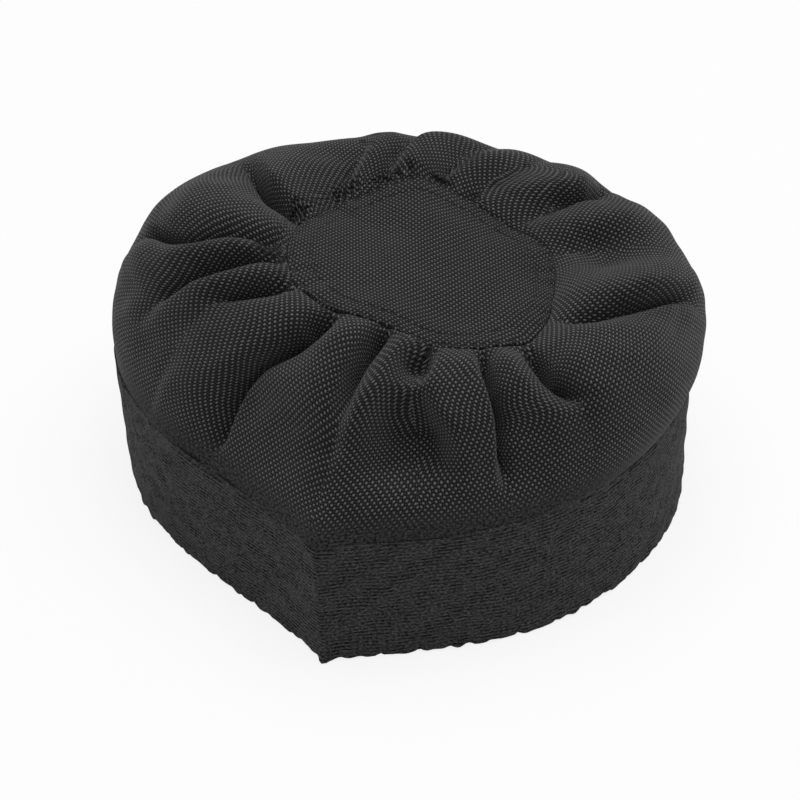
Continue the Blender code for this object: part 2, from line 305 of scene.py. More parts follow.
# Folds of the crown, in order round it: a ridge or a valley, how round the cloth turns over there, and its
# course from the disc outwards. A spot has its turn in degrees, its way, its height over the smooth crown
# in units of FOLD_HEIGHT and, where the fold leans over, its lean along the round in mm. A valley's depth
# counts VALLEY_GAIN times. The seam is in the last.
FOLDS = (
    (RIDGE, 1.4, (
        (6.8, 1, 0), (5.5, 0.88, 1), (4.5, 0.76, 2.2), (3.5, 0.66, 3), (2, 0.57, 3), (1.2, 0.48, 2.5),
        (1, 0.41, 1.5), (1, 0.29, 0.5), (1, 0.1, 0),
    )),
    (VALLEY, 3, (
        (17, 1, 0), (15.8, 0.96, -3), (15, 0.91, -4.5), (14.2, 0.85, -4), (13.7, 0.78, -1.8),
        (13.3, 0.71, 0), (14, 0.58, -3.5), (15.7, 0.46, -6.2), (17, 0.34, -4.5), (17.5, 0.22, 1.5),
        (18.5, 0.14, 2.8), (19, 0.04, 0.6),
    )),
    (RIDGE, 1.3, (
        (22, 1, 0), (20.5, 0.85, 1), (19, 0.74, 2.2), (22.2, 0.61, 3.2), (26.5, 0.5, 3.2),
        (28.5, 0.38, 2.8), (29.5, 0.26, 2), (30.5, 0.14, 1), (30.5, 0.04, 0),
    )),
    (RIDGE, 1.8, (
        (33, 1, 0), (32.5, 0.88, 1, 0.5), (32.5, 0.78, 1.5, 1), (32.5, 0.64, 2.2, 2.5),
        (33, 0.53, 2.2, 3), (33.3, 0.41, 1.8, 2.5), (34, 0.28, 1, 1), (34.5, 0.17, 0.5), (34.5, 0.08, 0),
    )),
    (VALLEY, 0.9, (
        (37, 1, 0), (37, 0.93, -4), (36.7, 0.79, -7), (36.7, 0.61, -8), (36.9, 0.5, -8),
        (36.9, 0.37, -5.5), (37.3, 0.24, -2.5), (38, 0.14, 0),
    )),
    (RIDGE, 1.5, (
        (45, 1, 0), (45.5, 0.82, 1.5, -1), (46, 0.68, 2, -1.5), (47.5, 0.58, 2.5, -1), (50, 0.51, 2.5),
        (51.5, 0.46, 2), (52, 0.33, 0.8), (52, 0.15, 0),
    )),
    (VALLEY, 0.9, (
        (55.5, 1, 0), (55.3, 0.95, -4.5), (55, 0.88, -8), (54.8, 0.79, -9.5), (54.8, 0.67, -8.5),
        (55.8, 0.58, -6), (57, 0.52, -2.5), (57.3, 0.47, 1), (57.3, 0.34, 0.5), (57.3, 0.15, 0),
    )),
    (RIDGE, 2.6, (
        (71, 1, 0), (70.5, 0.84, 1, -1), (68.5, 0.74, 2, -2), (66, 0.65, 2.5, -2), (63.5, 0.55, 3, -1),
        (62, 0.48, 2.6), (62, 0.35, 1), (62, 0.15, 0),
    )),
    (VALLEY, 0.9, (
        (78, 1, 0), (78.5, 0.93, -1.2), (81, 0.87, -4.5), (85.5, 0.82, -6.5), (90, 0.76, -7),
        (94.3, 0.69, -7), (98.3, 0.61, -6), (102, 0.51, -3), (103.5, 0.44, -1), (103.5, 0.3, 0),
    )),
    (RIDGE, 2, (
        (95, 1, 0), (94.5, 0.94, 1.5, -1), (96, 0.86, 2.5, -3), (98, 0.78, 3, -5), (101.5, 0.69, 3, -5),
        (105.5, 0.6, 2.5, -4), (109.5, 0.49, 1.5, -2), (111, 0.35, 0.6), (111, 0.1, 0),
    )),
    (VALLEY, 2, (
        (128, 1, 0), (126, 0.94, -2), (123, 0.86, -3), (119.5, 0.76, -2), (118, 0.65, -0.8),
        (119, 0.5, 0),
    )),
    (RIDGE, 2, (
        (139, 1, 0), (135, 0.94, 1), (132, 0.84, 2.2), (130, 0.74, 2.4), (130, 0.64, 1.8),
        (131, 0.5, 0.6), (132, 0.3, 0),
    )),
    (VALLEY, 0.9, (
        (152, 1, 0), (149, 0.93, -1.2), (146, 0.86, -2), (144.5, 0.78, -3.5), (143.5, 0.7, -6.5),
        (144, 0.62, -4), (145, 0.5, -1), (146, 0.3, 0),
    )),
    (RIDGE, 1.8, (
        (168, 1, 0), (164.5, 0.95, 0.6), (159.5, 0.88, 1.8, -1.5), (155.5, 0.83, 2.8, -3.5),
        (152.5, 0.77, 3, -6), (150.5, 0.71, 2.8, -6), (150.5, 0.65, 2, -3), (152, 0.55, 1),
        (154, 0.35, 0.3), (155, 0.1, 0),
    )),
    (VALLEY, 0.9, (
        (176, 1, 0), (171.5, 0.93, -0.8), (166, 0.83, -0.5), (162, 0.69, 0), (160, 0.54, 0),
        (160, 0.4, 0),
    )),
    (RIDGE, 2.2, (
        (183, 1, 0), (180.5, 0.92, 1.5), (176.5, 0.86, 2), (172, 0.78, 2), (168, 0.68, 1.2),
        (165, 0.5, 0.3), (165, 0.3, 0),
    )),
    (VALLEY, 0.9, (
        (190, 1, 0), (189, 0.96, -1.8), (186, 0.9, -2.2), (182.5, 0.83, -2), (179, 0.73, -1.2),
        (175.5, 0.62, -0.5), (173, 0.5, 0), (173, 0.3, 0),
    )),
    (RIDGE, 2.2, (
        (204, 1, 0), (202, 0.95, 1.5), (198, 0.89, 2.2), (194, 0.83, 2.6, 1), (190, 0.76, 2.8, 1.5),
        (185.5, 0.66, 2.2), (182, 0.5, 0.8), (181, 0.3, 0),
    )),
    (VALLEY, 0.9, (
        (212, 1, 0), (211, 0.97, -1.8), (207, 0.92, -2.2), (203, 0.86, -2.2), (199.5, 0.8, -1.5),
        (195.5, 0.72, -0.8), (193, 0.62, -0.6), (191, 0.5, 0), (190, 0.3, 0),
    )),
    (RIDGE, 2.2, (
        (226, 1, 0), (223, 0.96, 1.4), (217, 0.92, 1.6), (212, 0.87, 1.6), (207.5, 0.8, 1.2),
        (205, 0.72, 0.8), (203, 0.6, 0.3), (202, 0.3, 0),
    )),
    (VALLEY, 0.9, (
        (236, 1, 0), (233, 0.98, -1.5), (227.5, 0.95, -2), (221, 0.91, -2), (216, 0.86, -1.5),
        (212, 0.79, -1.2), (209.5, 0.68, -0.4), (208, 0.5, 0),
    )),
    (RIDGE, 2, (
        (256, 1, 0), (252, 0.96, 1, 1), (249, 0.92, 2.2, 2), (246, 0.86, 2.6, 2.5), (242, 0.78, 1.8, 1.5),
        (237, 0.66, 0.6), (234, 0.55, 0),
    )),
    (VALLEY, 0.9, (
        (263, 1, 0), (258, 0.965, -5.5), (256, 0.93, -9), (254, 0.9, -9), (250, 0.84, -7),
        (245.5, 0.75, -3), (242, 0.66, -0.5), (241, 0.5, 0),
    )),
    (RIDGE, 2.8, (
        (275, 1, 0), (275, 0.95, 1.5), (271.5, 0.87, 2.5, 1.5), (267, 0.79, 2.5, 2.5), (264, 0.7, 2, 2),
        (261, 0.55, 0.8), (259, 0.35, 0),
    )),
    (VALLEY, 0.9, (
        (287, 1, 0), (285, 0.955, -4.5), (283.8, 0.91, -2), (282.5, 0.86, -2), (282, 0.8, -5.5),
        (282, 0.73, -9), (280.5, 0.67, -10), (277, 0.6, -9), (272.5, 0.53, -5.5), (269, 0.42, -1.5),
        (268, 0.3, 0),
    )),
    (RIDGE, 2.2, (
        (291, 1, 0), (290.5, 0.94, 1.2, 1), (290, 0.9, 2.4, 2.5), (289.5, 0.85, 3, 3),
        (289.5, 0.79, 3, 3), (289.5, 0.72, 3, 2.5), (287.5, 0.62, 2.5, 1.5), (283.5, 0.51, 2),
        (280, 0.42, 1), (278, 0.28, 0),
    )),
    (VALLEY, 0.9, (
        (296, 1, 0), (296, 0.95, -5.5), (295.5, 0.9, -9.5), (295.5, 0.81, -10), (296, 0.72, -9.5),
        (295.5, 0.62, -7.5), (294.5, 0.53, -4), (293.5, 0.45, -1), (293, 0.3, 0),
    )),
    (RIDGE, 2.6, (
        (302, 1, 0), (303, 0.9, 1.5, 1.5), (303, 0.81, 2, 2.5), (302.5, 0.71, 2, 2), (301, 0.61, 1.5),
        (299, 0.49, 0.5), (298, 0.3, 0),
    )),
    (VALLEY, 0.9, (
        (314, 1, 0), (311.5, 0.95, -5.5), (310.3, 0.91, -8.5), (309.5, 0.86, -8.5), (308.5, 0.81, -7.5),
        (307.3, 0.74, -5), (306.5, 0.68, -1.5), (306, 0.6, 0), (306, 0.36, 0),
    )),
    (RIDGE, 2.8, (
        (323, 1, 0), (324.5, 0.83, 1.5, 1.5), (323.5, 0.7, 2, 3), (320, 0.56, 2, 3), (316, 0.41, 2, 2),
        (313, 0.29, 2), (311, 0.18, 1.5), (310, 0.05, 0.3),
    )),
    (VALLEY, 0.9, (
        (336, 1, 0), (335.3, 0.94, -6), (335, 0.88, -9), (334.8, 0.79, -9.5), (332.5, 0.69, -9.5),
        (329, 0.59, -9), (326, 0.51, -8.5), (324.5, 0.41, -7.5), (324.5, 0.32, -6), (325.5, 0.23, -4.5),
        (326, 0.14, -3), (326.5, 0.04, -0.5),
    )),
    (RIDGE, 2.4, (
        (348, 1, 0), (348.5, 0.89, 1.5, 1), (349.5, 0.76, 2.5, 1.5), (350.5, 0.65, 3, 1.5),
        (351.5, 0.57, 3, 0.5), (353, 0.48, 2), (354, 0.4, 1), (354, 0.2, 0),
    )),
    (VALLEY, 0.9, (
        (358, 1, 0), (357, 0.96, -6), (356, 0.9, -9), (355.5, 0.8, -9), (355.5, 0.71, -8),
        (356, 0.64, -6), (356.8, 0.57, -2.5), (357.5, 0.49, 0), (358, 0.2, 0),
    )),
)
SEAM_FOLD = len(FOLDS) - 1
FOLD_HEIGHT = 1.45 * MM
VALLEY_GAIN = 1.40

# Valleys are creased near the disc. One at least SLIT_DEPTH deep has SLIT_SHARE of its depth in a narrow
# slit, near the disc or all along where its roundness is less than BROAD
CREASE_LENGTH = 0.0150
CREASE_ROUND = 0.6
SLIT_DEPTH = 0.0080
SLIT_SHARE = 0.70
SLIT_WIDTH = 0.0022
BROAD = 2.0


def round_off(ring, spread):
    """Rounds the corner of a ring of points by spreading each over its neighbours."""
    waves = np.fft.rfftfreq(RING_STEPS, 1 / RING_STEPS)
    damping = np.exp(-((waves * spread) ** 2) / 2)
    return np.fft.irfft(np.fft.rfft(ring, axis=0) * damping[:, None], RING_STEPS, axis=0)


def crown_base(way):
    """Smooth crown at a way: points round it and the directions out of it."""
    depth = FOOT_DEPTH - FOOT_DEPTH_SWING * np.cos(RING - FOOT_TURN)
    foot = band_points(RING_LENGTH[:-1], depth, CROWN_FOOT)
    reach, lift = rim(RING)
    seam = disc_points(RING, DISC_RADIUS + DISC_CLEARANCE + reach, lift - SEAM_DROP)
    inward = seam - foot
    inward[:, 2] = 0.0
    length = np.linalg.norm(inward, axis=1)[:, None]
    inward /= length
    front = np.exp(-(((wrapped(RING) - FRONT_TURN) / FRONT_WIDTH) ** 4))
    crest = CREST - CREST_BACK * np.cos(RING) + CREST_RIGHT * np.sin(RING)
    crest += (CREST_FRONT - crest) * front
    bulge = BULGE - BULGE_BACK * np.cos(RING) + BULGE_RIGHT * np.sin(RING)
    bulge += (BULGE_FRONT - bulge) * front
    rise = RISE + (RISE_FRONT - RISE) * front
    high_step = HIGH_STEP + (HIGH_STEP_FRONT - HIGH_STEP) * front
    low_hold = foot - inward * bulge[:, None] + UP * rise[:, None]
    high_hold = foot + inward * length * high_step[:, None]
    high_hold[:, 2] = seam[:, 2] - lift + crest
    softness = CORNER_ROUNDING * smooth_step(way / ROUNDING_WAY)
    foot, low_hold, high_hold = (round_off(ring, softness) for ring in (foot, low_hold, high_hold))
    rest = 1.0 - way
    point = foot * rest**3 + low_hold * 3 * rest**2 * way + high_hold * 3 * rest * way**2 + seam * way**3
    slope = (low_hold - foot) * rest**2 + (high_hold - low_hold) * 2 * rest * way
    slope += (seam - high_hold) * way**2
    outward = UP * np.sum(slope * inward, axis=1)[:, None] - inward * slope[:, 2:3]
    return point, outward / np.linalg.norm(outward, axis=1)[:, None]


def fold_lines(ways):
    """Turn, height and lean of every fold at each way, softened a little along it."""
    kernel = np.hanning(2 * SOFTENING + 3)[1:-1]
    kernel /= kernel.sum()
    units = np.array([radians(1.0), FOLD_HEIGHT, MM])
    lines = []
    for _, _, course in FOLDS:
        spots = np.array([(*spot, 0.0)[:4] for spot in course])[::-1]
        values = columns_of(ways, spots[:, 1], spots[:, (0, 2, 3)]) * units
        padded = np.pad(values.T, ((0, 0), (SOFTENING, SOFTENING)), mode="edge")
        lines.append([np.convolve(value, kernel, mode="valid") for value in padded])
    return np.moveaxis(np.array(lines), 2, 0)


def folded_ring(way, from_disc, lines):
    """Folded crown at a way: points round it and their turns, from the crown's seam round to it again.

    A deep valley is partly broad and partly a narrow slit.
    """
    point, outward = crown_base(way)
    along = unit(np.roll(point, -1, axis=0) - np.roll(point, 1, axis=0))
    steps = np.linalg.norm(np.roll(point, -1, axis=0) - point, axis=1)
    arc = np.concatenate([[0.0], np.cumsum(steps)])
    is_valley = np.array([fold[0] for fold in FOLDS])
    rounds = np.array([fold[1] for fold in FOLDS])
    turns, heights, leans = lines.T
    heights = np.where(is_valley & (heights < 0.0), heights * VALLEY_GAIN, heights)
    crease = 1.0 - smooth_step(from_disc / CREASE_LENGTH)
    narrow = is_valley * np.maximum(rounds < BROAD, crease)
    slits = heights * SLIT_SHARE * smooth_step(-heights / SLIT_DEPTH) * narrow
    rounds = rounds + (CREASE_ROUND - rounds) * crease * is_valley
    places = np.interp(turns, np.append(RING, 2 * pi), arc)
    folds = np.column_stack([turns, places, heights - slits, leans, rounds, slits])
    whole = np.array([2 * pi, arc[-1], 0.0, 0.0, 0.0, 0.0])
    folds = np.concatenate([folds[-1:] - whole, folds, folds[:1] + whole])
    left = np.searchsorted(folds[:, 0], RING, side="right") - 1
    here, there = folds[left].T, folds[left + 1].T
    share = (RING - here[0]) / (there[0] - here[0])
    near = share ** here[4]
    far = (1.0 - share) ** there[4]
    blend = near / (near + far)
    lift = here[2] + (there[2] - here[2]) * blend
    lean = here[3] + (there[3] - here[3]) * blend
    for side in (here, there):
        lift += side[5] * np.exp(-(((arc[:-1] - side[1]) / SLIT_WIDTH) ** 2))
    loose = smooth_step(from_disc / UNDULATION_START) * smooth_step(way / ROUNDING_WAY)
    lift += UNDULATION * loose * uneven(UNDULATION_SEED, point, UNDULATION_LENGTHS)
    folded = point + outward * lift[:, None] + along * lean[:, None]
    first = np.searchsorted(RING, lines[SEAM_FOLD, 0])
    turns = np.concatenate([RING[first:], RING[: first + 1] + 2 * pi])
    return np.concatenate([folded[first:], folded[: first + 1]]), turns


def make_crown():
    """Crown cloth: columns keep their distance along the folded cloth, so that the weave keeps its scale."""
    trial = np.linspace(0.0, 1.0, 4 * CROWN_ROWS + 1)
    smooth = np.array([crown_base(way)[0] for way in trial])
    steps = np.linalg.norm(np.diff(smooth, axis=0), axis=2)
    climbed = np.concatenate([np.zeros((1, RING_STEPS)), np.cumsum(steps, axis=0)])
    climb = climbed.mean(axis=1)
    ways = np.interp(np.linspace(0.0, climb[-1], CROWN_ROWS + 1), climb, trial)
    lines = fold_lines(ways)
    is_valley = np.array([fold[0] for fold in FOLDS])
    anchors = ~is_valley & np.roll(is_valley, 1)
    columns = np.linspace(0.0, 1.0, CROWN_COLUMNS + 1)
    rows, flat, anchored, lobes = [], [], [], []
    for way, folds in zip(ways, lines):
        ring, turns = folded_ring(way, climb[-1] - np.interp(way, trial, climb), folds)
        edges = np.linalg.norm(np.diff(ring, axis=0), axis=1)
        length = np.concatenate([[0.0], np.cumsum(edges)])
        places = columns * length[-1]
        rows.append(columns_of(places, length, ring))
        column_turns = np.interp(places, length, turns)
        up = np.array([np.interp(way, trial, column) for column in climbed.T])
        flat.append(np.stack([places, np.interp(column_turns % (2 * pi), RING, up)], axis=-1))
        unwound = folds[:, 0] + 2 * pi * (folds[:, 0] < turns[0])
        anchored.append(np.interp(unwound[anchors], turns, length))
        lobes.append(np.searchsorted(unwound[is_valley][:-1], column_turns[:-1], side="right"))
    rows, flat, lobes = np.array(rows), np.array(flat), np.array(lobes)
    slips = anchored[0] - np.array(anchored)
    lower = np.take_along_axis(slips[:-1], lobes[:-1], axis=1)
    upper = np.take_along_axis(slips[1:], lobes[:-1], axis=1)
    slip = np.stack([lower, upper], axis=-1)

    start = lines[0, SEAM_FOLD, 0]
    places = np.interp(start, RING, RING_LENGTH[:-1]) + columns * BAND_LENGTH
    foot_heights = np.linspace(MARGIN_FOOT, CROWN_FOOT - SEAM_DROP, MARGIN_ROWS)
    foot_rows = np.array([band_points(places, CROWN_DEPTH, height) for height in foot_heights])
    foot_flat = np.array([flat[0] - np.array([0.0, CROWN_FOOT - height]) for height in foot_heights])
    centre = np.array(DISC_PLACE @ Vector((0.0, 0.0, -MARGIN_DROP)))
    edge = rows[-1] - np.array(DISC_PLACE.to_3x3() @ Vector((0.0, 0.0, MARGIN_DROP - SEAM_DROP)))
    inward = np.linspace(0.0, MARGIN_WIDTH, MARGIN_ROWS)
    top_rows = np.array([edge + (centre - edge) * reach / DISC_RADIUS for reach in inward])
    top_flat = np.array([flat[-1] + np.array([0.0, MARGIN_DROP + reach]) for reach in inward])

    plain = np.zeros((MARGIN_ROWS, CROWN_COLUMNS, 2))
    ended = np.broadcast_to(slip[-1, :, 1:], plain.shape)
    rows = np.concatenate([foot_rows, rows, top_rows])
    flat = np.concatenate([foot_flat, flat, top_flat])
    crown = sheet_from("crown_cloth", rows, flat, np.concatenate([plain, slip, ended]))
    return thicken(crown, CROWN_THICK), climb[-1] + CROWN_FOOT - MARGIN_FOOT + MARGIN_WIDTH


# Stitching in rows round the band
STITCH_ROWS = 33
TOP_ROWS = 16
LOWEST_ROW = 0.0016
HIGHEST_ROW = 0.0472
ROW_STEPS = 4
ROW_WAVE = 0.00025
ROW_WAVE_LENGTHS = (0.012, 0.050)
GROOVE = 0.00045
GROOVE_LENGTHS = (0.003, 0.009)
GROOVE_MEAN = 0.45
GROOVE_SWING = 0.7
GROOVE_MOST = 1.3
STITCH_LENGTHS = (0.0016, 0.0030)
STITCH_GAPS = (0.0003, 0.0009)
STITCH_WIDTHS = (0.00040, 0.00055)
STITCH_THICK = 0.0005
STITCH_TILT = 0.10
STITCH_SINK = 0.0004
MISSED = 0.06
SEAM_CLEAR = 0.0012
STEP = 0.0002

# Unevenness of the band
SWELL = 0.00035
SWELL_LENGTHS = (0.030, 0.120)
PUCKER = 0.00013
PUCKER_LENGTHS = (0.004, 0.014)
SCALLOP = 0.00035
SCALLOP_LENGTHS = (0.0035, 0.0100)
SCALLOP_HEIGHT = 0.0025
EDGE_WAVE = 0.0013
SEAM_RIDGE = 0.0005
SEAM_RIDGE_WIDTH = 0.0012
NUB = 0.0013
NUB_WIDTH = 0.0016
NUB_HEIGHT = 0.0035
BAND_COLUMNS = 590
HEM_ROWS = 4
FOOT_STEPS = 5
EDGE_STEPS = 6
INNER_ROWS = 6
LAYER_COLUMNS = 240
LAYER_ROWS = 10
TAPE_COLUMNS = 24
BEAD_SIDES = 6
BEAD_RINGS = 4


def row_wave(places, heights):
    """How far a row of stitches strays from its height; the rows at the band's edges keep to them."""
    inside = smooth_step(heights / ROUNDING_HEIGHT) * smooth_step((BAND_HEIGHT - heights) / ROUNDING_HEIGHT)
    return ROW_WAVE * inside * uneven(ROW_SEED, band_points(places, 0.0, heights), ROW_WAVE_LENGTHS)


def face_lift(places, heights):
    """How far the band's face stands out."""
    from_seam = (places + BAND_LENGTH / 2) % BAND_LENGTH - BAND_LENGTH / 2
    points = band_points(places, 0.0, heights)
    swell = SWELL * uneven(SWELL_SEED, points, SWELL_LENGTHS)
    lift = swell + PUCKER * uneven(PUCKER_SEED, points, PUCKER_LENGTHS)
    scallop = SCALLOP * uneven(SCALLOP_SEED, points, SCALLOP_LENGTHS)
    lift = lift + scallop * np.exp(-heights / SCALLOP_HEIGHT)
    lift = lift + SEAM_RIDGE * np.exp(-((from_seam / SEAM_RIDGE_WIDTH) ** 2))
    return lift + NUB * np.exp(-((from_seam / NUB_WIDTH) ** 2) - (heights / NUB_HEIGHT) ** 2)


def band_section():
    """Depths and heights of the cover: hem, round the foot, up the face, over the top and back inside."""
    half = COVER_THICK / 2
    hem = [(depth, 0.0) for depth in np.linspace(HEM_REACH, FOOT_ROUND, HEM_ROWS, endpoint=False)]
    foot_turns = np.linspace(0.0, pi / 2, FOOT_STEPS)
    foot = [(FOOT_ROUND * (1 - sin(turn)), FOOT_ROUND * (1 - cos(turn))) for turn in foot_turns]
    face_heights = np.linspace(LOWEST_ROW, HIGHEST_ROW, (STITCH_ROWS - 1) * ROW_STEPS + 1)
    face = [(0.0, height) for height in face_heights]
    edge_turns = np.linspace(0.0, pi, EDGE_STEPS)
    edge = [(half * (1 - cos(turn)), BAND_HEIGHT - half * (1 - sin(turn))) for turn in edge_turns]
    inner_heights = np.linspace(BAND_HEIGHT - half, FOOT_ROUND, INNER_ROWS)[1:]
    inside = [(COVER_THICK, height) for height in inner_heights]
    inner_hem = [(depth, COVER_THICK) for depth in np.linspace(FOOT_ROUND, HEM_REACH, HEM_ROWS)]
    return np.array(hem + foot + face + edge + inside + inner_hem + hem[:1])


def make_band():
    """Band cover: woolly cloth drawn in along its rows of stitches, with a scalloped foot."""
    section = band_section()
    depths, heights = section[:, :1], section[:, 1:]
    places = np.linspace(0.0, BAND_LENGTH, BAND_COLUMNS + 1)[None, :]
    spread = 1.0 - depths / HEM_REACH
    rows_up = (heights - LOWEST_ROW) / (HIGHEST_ROW - LOWEST_ROW) * (STITCH_ROWS - 1)
    drawn_in = np.maximum(np.cos(2 * pi * rows_up), 0.0) * (depths == 0.0)
    points = band_points(places, 0.0, heights)
    pull = GROOVE_MEAN + GROOVE_SWING * uneven(GROOVE_SEED, points, GROOVE_LENGTHS)
    groove = GROOVE * drawn_in * np.clip(pull, 0.0, GROOVE_MOST)
    foot = band_points(places, 0.0, 0.0)
    gaps = np.maximum(1.0 - np.abs(uneven(EDGE_SEED, foot, SCALLOP_LENGTHS)), 0.0)
    raised = EDGE_WAVE * gaps * np.exp(-heights / SCALLOP_HEIGHT) * spread
    strayed = heights + raised + row_wave(places, heights) * spread
    rows = band_points(places, depths + groove - face_lift(places, heights) * spread, strayed)
    run = np.concatenate([[0.0], np.cumsum(np.hypot(*np.diff(section, axis=0).T))])
    flat = np.stack(np.broadcast_arrays(places, run[:, None]), axis=-1)
    return sheet_from("band_cloth", rows, flat), HEM_REACH + BAND_HEIGHT


def make_layer(name, depth, thick, foot, top, ends=None, columns=LAYER_COLUMNS):
    """Plain layer inside the band: a ring, or a strip between two ends."""
    first, last = ends or (0.0, BAND_LENGTH)
    places = np.linspace(first, last, columns + 1)[None, :]
    heights = np.linspace(foot, top, LAYER_ROWS + 1)[:, None]
    flat = np.stack(np.broadcast_arrays(places, heights), axis=-1)
    layer = sheet_from(name, band_points(places, depth, heights), flat, closed=ends is None)
    return thicken(layer, thick)


def sew(name, spots, along, out, lengths, widths, thick):
    """Piece of many stitches: copies of one bead of thread, each turned and drawn out along its row."""
    bead = bmesh.new()
    bmesh.ops.create_uvsphere(bead, u_segments=BEAD_SIDES, v_segments=BEAD_RINGS, radius=0.5)
    mesh = bpy.data.meshes.new("bead")
    bead.to_mesh(mesh)
    shape = np.array([vert.co for vert in bead.verts])
    bead.free()
    bm = bmesh.new()
    for _ in spots:
        bm.from_mesh(mesh)
    bpy.data.meshes.remove(mesh)
    sides = np.stack([np.cross(out, along) * widths[:, None], out * thick, along * lengths[:, None]], axis=1)
    for vert, place in zip(bm.verts, (shape @ sides + spots[:, None]).reshape(-1, 3)):
        vert.co = place
    return finish_piece(name, bm)


def face_points(places, heights):
    return band_points(places, STITCH_SINK - face_lift(places, heights), heights)


def stitch_row(seed, height):
    """One row of stitches round the band, from one side of the closing seam to the other."""
    draw = np.random.default_rng(seed)
    most = int(BAND_LENGTH / STITCH_LENGTHS[0])
    lengths = draw.uniform(*STITCH_LENGTHS, most)
    starts = SEAM_CLEAR + np.cumsum(lengths + draw.uniform(*STITCH_GAPS, most)) - lengths
    sewn = (starts + lengths < BAND_LENGTH - SEAM_CLEAR) & (draw.random(most) > MISSED)
    places, lengths = (starts + lengths / 2)[sewn], lengths[sewn]
    heights = height + row_wave(places, np.full(len(places), height))
    spots = face_points(places, heights)
    along = unit(face_points(places + STEP, heights) - spots)
    up = unit(face_points(places, heights + STEP) - spots)
    along = unit(along + up * draw.normal(0.0, STITCH_TILT, len(places))[:, None])
    return spots, along, unit(np.cross(along, up)), lengths, draw.uniform(*STITCH_WIDTHS, len(places))


def make_band_stitches(name, first, last):
    heights = np.linspace(LOWEST_ROW, HIGHEST_ROW, STITCH_ROWS)
    rows = [stitch_row(STITCH_SEED + row, heights[row]) for row in range(first, last)]
    return sew(name, *(np.concatenate(part) for part in zip(*rows)), STITCH_THICK)


# Top disc
DISC_STITCH = 0.0022
DISC_STITCH_GAP = 0.0007
DISC_STITCH_WIDTH = 0.0005
DISC_STITCH_RISE = 0.0001
DISC_SWELL = 0.00030
DISC_WAVE_LENGTHS = (0.018, 0.060)
DISC_CREST = 0.0030
DISC_CREST_PLACE = -0.007
DISC_CREST_SLANT = 0.085
DISC_CREST_WIDTH = 0.015
EDGE_PUCKER = 0.00022
EDGE_PUCKER_COUNTS = (14, 40)
PUCKER_START = 0.030
ROW_DIP = 0.00035
ROW_DIP_WIDTH = 0.0006
DISC_EDGE = 0.0006
RIM_FADE = 4
MIDDLE_RINGS = 12
EDGE_RINGS = 36
BEND_STEPS = 7
HEM_RINGS = 6
STITCH_STRAY = 0.1
STITCH_SPREAD = (0.85, 1.15)

# Facing: its rings and its share of the disc's unevenness
FACING_RINGS = 30
FACING_SHARE = 0.3


def disc_lift(across):
    """How far the disc's cloth stands over its plane; a soft crest runs from front to back."""
    draw = np.random.default_rng(DISC_SEED)
    radii = np.linalg.norm(across, axis=-1)
    turns = np.arctan2(across[..., 0], -across[..., 1])
    lift = DISC_SWELL * uneven(DISC_SWELL_SEED, across, DISC_WAVE_LENGTHS)
    from_crest = across[..., 0] - DISC_CREST_PLACE + DISC_CREST_SLANT * across[..., 1]
    crest = DISC_CREST * np.exp(-((from_crest / DISC_CREST_WIDTH) ** 2))
    lift += crest + (rim(turns)[1] - crest) * (radii / DISC_RADIUS) ** 2
    pucker = np.zeros(radii.shape)
    for count in draw.integers(*EDGE_PUCKER_COUNTS, WAVES):
        pucker += np.sin(count * turns + draw.uniform(0.0, 2 * pi))
    outer = smooth_step((radii - PUCKER_START) / (DISC_RADIUS - PUCKER_START))
    lift += EDGE_PUCKER * pucker / WAVES**0.5 * outer
    for row in (INNER_ROW, OUTER_ROW):
        lift -= ROW_DIP * np.exp(-(((radii - row) / ROW_DIP_WIDTH) ** 2))
    return lift


def turned_sheet(name, profile, thick, level):
    """Round of cloth: a profile of radii and heights turned round the disc's middle, then made uneven."""
    bm = bmesh.new()
    cut = bm.loops.layers.uv.new("cloth")
    spots = [bm.verts.new((0.0, -radius, height)) for radius, height in profile]
    edges = [bm.edges.new(pair) for pair in zip(spots, spots[1:])]
    bmesh.ops.spin(
        bm, geom=spots + edges, axis=(0, 0, 1), cent=(0, 0, 0), angle=2 * pi, steps=ROUND_STEPS,
        use_merge=True,
    )
    bmesh.ops.remove_doubles(bm, verts=bm.verts, dist=MIDDLE_WELD)
    bmesh.ops.recalc_face_normals(bm, faces=bm.faces)
    if max(bm.faces, key=lambda face: -face.calc_center_median().xy.length).normal.z < 0:
        bmesh.ops.reverse_faces(bm, faces=bm.faces)
    for face in bm.faces:
        for loop in face.loops:
            loop[cut].uv = loop.vert.co.xy
    across = np.array([vert.co.xy for vert in bm.verts])
    lifts = level * disc_lift(across)
    drawn = rim(np.arctan2(across[:, 0], -across[:, 1]))[0]
    for vert, lift, reach in zip(bm.verts, lifts, drawn):
        share = vert.co.xy.length / DISC_RADIUS
        vert.co.xy *= 1.0 + reach / DISC_RADIUS * share**RIM_FADE
        vert.co.z += lift
        vert.co = DISC_PLACE @ vert.co
    return thicken(finish_piece(name, bm), thick)


def make_disc():
    """Disc cloth: its face, round the edge, and the hem turned under."""
    inner = np.linspace(0.0, PUCKER_START, MIDDLE_RINGS, endpoint=False)
    outer = np.linspace(PUCKER_START, DISC_RADIUS - DISC_EDGE, EDGE_RINGS)
    hem = np.linspace(DISC_RADIUS - DISC_EDGE, DISC_RADIUS - DISC_HEM, HEM_RINGS)[1:]
    profile = [(radius, 0.0) for radius in (*inner, *outer)]
    for turn in np.linspace(0.0, pi, BEND_STEPS)[1:]:
        profile.append((DISC_RADIUS - DISC_EDGE * (1 - sin(turn)), -HEM_DROP * (1 - cos(turn)) / 2))
    profile += [(radius, -HEM_DROP) for radius in hem]
    return turned_sheet("disc_cloth", profile, DISC_THICK, 1.0)


